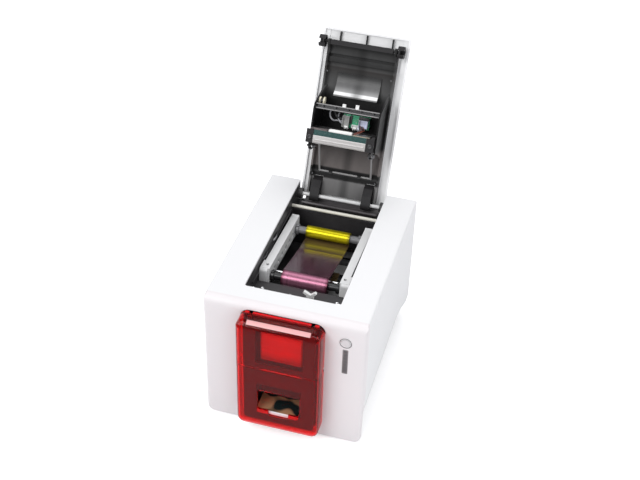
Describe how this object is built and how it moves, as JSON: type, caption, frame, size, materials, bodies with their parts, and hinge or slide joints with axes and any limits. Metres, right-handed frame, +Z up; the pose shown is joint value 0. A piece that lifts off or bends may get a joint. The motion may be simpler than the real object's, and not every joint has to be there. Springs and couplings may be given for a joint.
{
  "type": "id card printer",
  "caption": "Desktop card printer with its hinged lid open over the ribbon bay, a front feeder cover and an output hopper.",
  "frame": {"origin": "centre of the base tray's underside, midway between the casing's front and rear faces, in the plane of the front panel's lower edge; the rubber feet reach 3 mm lower", "axes": "+X to the viewer's right as one faces the front, +Y to the rear, +Z up"},
  "size_m": [0.205, 0.3986, 0.3803],
  "materials": {
    "casing_white": "fine moulded texture",
    "front_white": "smooth satin",
    "lid_white": "fine moulded texture",
    "metal_panel": "powder coat",
    "dark_plastic": "fine matt texture",
    "black_plastic": "matt",
    "steel": "brushed",
    "red_cover": "translucent tinted",
    "pink_grip": "satin",
    "rubber_black": "matt",
    "roller_grey": "matt",
    "rail_grey": "satin",
    "white_plastic": "satin",
    "card_white": "glossy card",
    "gear_ivory": "moulded",
    "aluminium_grey": "extruded",
    "board_green": "solder mask",
    "head_ceramic": "glazed",
    "film_yellow": "thin film",
    "film_magenta": "thin film",
    "roll_yellow": "wound film",
    "roll_magenta": "wound film",
    "light_grey": "diffuser",
    "shield_grey": "satin",
    "brass": "machined",
    "motor_steel": "plated"
  },
  "bodies": {
    "casing": {"casing_shell": "casing_white", "front_panel": "front_white", "rear_panel": "metal_panel", "base_tray": "dark_plastic", "rubber_feet": "rubber_black", "chassis_frame": "steel", "bay_liner": "dark_plastic", "rear_trough": "dark_plastic", "card_plate": "steel", "hinge_shaft": "steel", "cross_bar": "white_plastic", "latch_pins": "steel", "feeder_frame": "black_plastic", "card_stack": "card_white", "hopper_tray": "black_plastic", "printed_cards": "card_white", "hopper_cover": "red_cover", "button_ring": "aluminium_grey", "led_bar": "light_grey", "gauge_scale": "shield_grey", "main_board": "board_green", "power_inlet": "black_plastic", "usb_socket": "steel", "network_socket": "black_plastic", "drive_motor": "motor_steel", "drive_belt": "rubber_black", "shaft_bushes": "gear_ivory"},
    "platen": {"platen_shaft": "steel", "platen_roller": "roller_grey", "platen_gear": "gear_ivory"},
    "feed": {"feed_roller": "roller_grey"},
    "front_transport": {"front_transport_roller": "roller_grey"},
    "rear_transport": {"rear_transport_roller": "roller_grey"},
    "cleaner": {"cleaning_roller": "roller_grey"},
    "pinion": {"motor_pinion": "brass"},
    "button": {"button_cap": "white_plastic"},
    "feed_lid": {"feeder_cover": "red_cover", "cover_grip": "pink_grip"},
    "gauge": {"gauge_lever": "white_plastic"},
    "cassette": {"cassette_frame": "rail_grey", "cassette_ties": "steel", "yellow_panel": "film_yellow", "magenta_panel": "film_magenta"},
    "supply": {"supply_core": "rail_grey", "supply_roll": "roll_yellow"},
    "takeup": {"takeup_core": "black_plastic", "takeup_roll": "roll_magenta"},
    "lid": {"lid_shell": "lid_white", "lid_liner": "dark_plastic", "hinge_arms": "black_plastic", "hinge_barrel": "dark_plastic", "spool_shield": "shield_grey", "cross_rail": "dark_plastic", "window_frame": "rail_grey", "head_board": "board_green", "head_connectors": "white_plastic"},
    "latch": {"latch_bar": "black_plastic"},
    "head": {"head_carrier": "black_plastic", "heat_sink": "aluminium_grey", "thermal_head": "head_ceramic"}
  },
  "joints": [
    {"name": "lid_hinge", "type": "hinge", "parent": "casing", "child": "lid", "pos_m": [0, 0.126, 0.177], "axis": [-1, 0, 0], "range_deg": [-115.9, 0], "deforming": ["yellow_panel", "magenta_panel"]},
    {"name": "latch_turn", "type": "hinge", "parent": "lid", "child": "latch", "pos_m": [0, 0.21459, 0.36632], "axis": [1, 0, 0], "range_deg": [-70, 0]},
    {"name": "head_slide", "type": "slide", "parent": "lid", "child": "head", "axis": [0, 0.8996, -0.4368], "range_m": [0, 0.002], "stiffness_N_per_m": 1500, "springref_m": -0.003},
    {"name": "cassette_lift", "type": "slide", "parent": "casing", "child": "cassette", "axis": [0, 0, 1], "range_m": [0, 0.08]},
    {"name": "takeup_spin", "type": "hinge", "parent": "cassette", "child": "takeup", "pos_m": [0, -0.03881, 0.16276], "axis": [1, 0, 0], "continuous": true},
    {"name": "supply_spin", "type": "hinge", "parent": "cassette", "child": "supply", "pos_m": [0, 0.07011, 0.15777], "axis": [1, 0, 0], "continuous": true},
    {"name": "platen_spin", "type": "hinge", "parent": "casing", "child": "platen", "pos_m": [0, 0.0415, 0.1037], "axis": [1, 0, 0], "continuous": true},
    {"name": "feed_spin", "type": "hinge", "parent": "casing", "child": "feed", "pos_m": [0, -0.0694, 0.1037], "axis": [1, 0, 0], "continuous": true},
    {"name": "front_transport_spin", "type": "hinge", "parent": "casing", "child": "front_transport", "pos_m": [0, -0.0255, 0.1037], "axis": [1, 0, 0], "continuous": true},
    {"name": "rear_transport_spin", "type": "hinge", "parent": "casing", "child": "rear_transport", "pos_m": [0, 0.0795, 0.1037], "axis": [1, 0, 0], "continuous": true},
    {"name": "cleaner_spin", "type": "hinge", "parent": "casing", "child": "cleaner", "pos_m": [0, -0.0255, 0.12106], "axis": [1, 0, 0], "continuous": true},
    {"name": "pinion_spin", "type": "hinge", "parent": "casing", "child": "pinion", "pos_m": [0, 0.0415, 0.0797], "axis": [1, 0, 0], "continuous": true},
    {"name": "button_press", "type": "slide", "parent": "casing", "child": "button", "axis": [0, 1, 0], "range_m": [0, 0.0015], "stiffness_N_per_m": 500, "springref_m": -0.001},
    {"name": "feed_lid_hinge", "type": "hinge", "parent": "casing", "child": "feed_lid", "pos_m": [0, -0.141, 0.1799], "axis": [-1, 0, 0], "range_deg": [0, 80]},
    {"name": "gauge_move", "type": "slide", "parent": "casing", "child": "gauge", "axis": [1, 0, 0], "range_m": [0, 0.01]}
  ],
  "couplings": [
    {"joint": "supply_spin", "follows": "takeup_spin", "ratio": -1.3},
    {"joint": "feed_spin", "follows": "platen_spin", "ratio": 1},
    {"joint": "front_transport_spin", "follows": "platen_spin", "ratio": 1},
    {"joint": "rear_transport_spin", "follows": "platen_spin", "ratio": 1},
    {"joint": "cleaner_spin", "follows": "platen_spin", "ratio": -1},
    {"joint": "pinion_spin", "follows": "platen_spin", "ratio": -3}
  ]
}
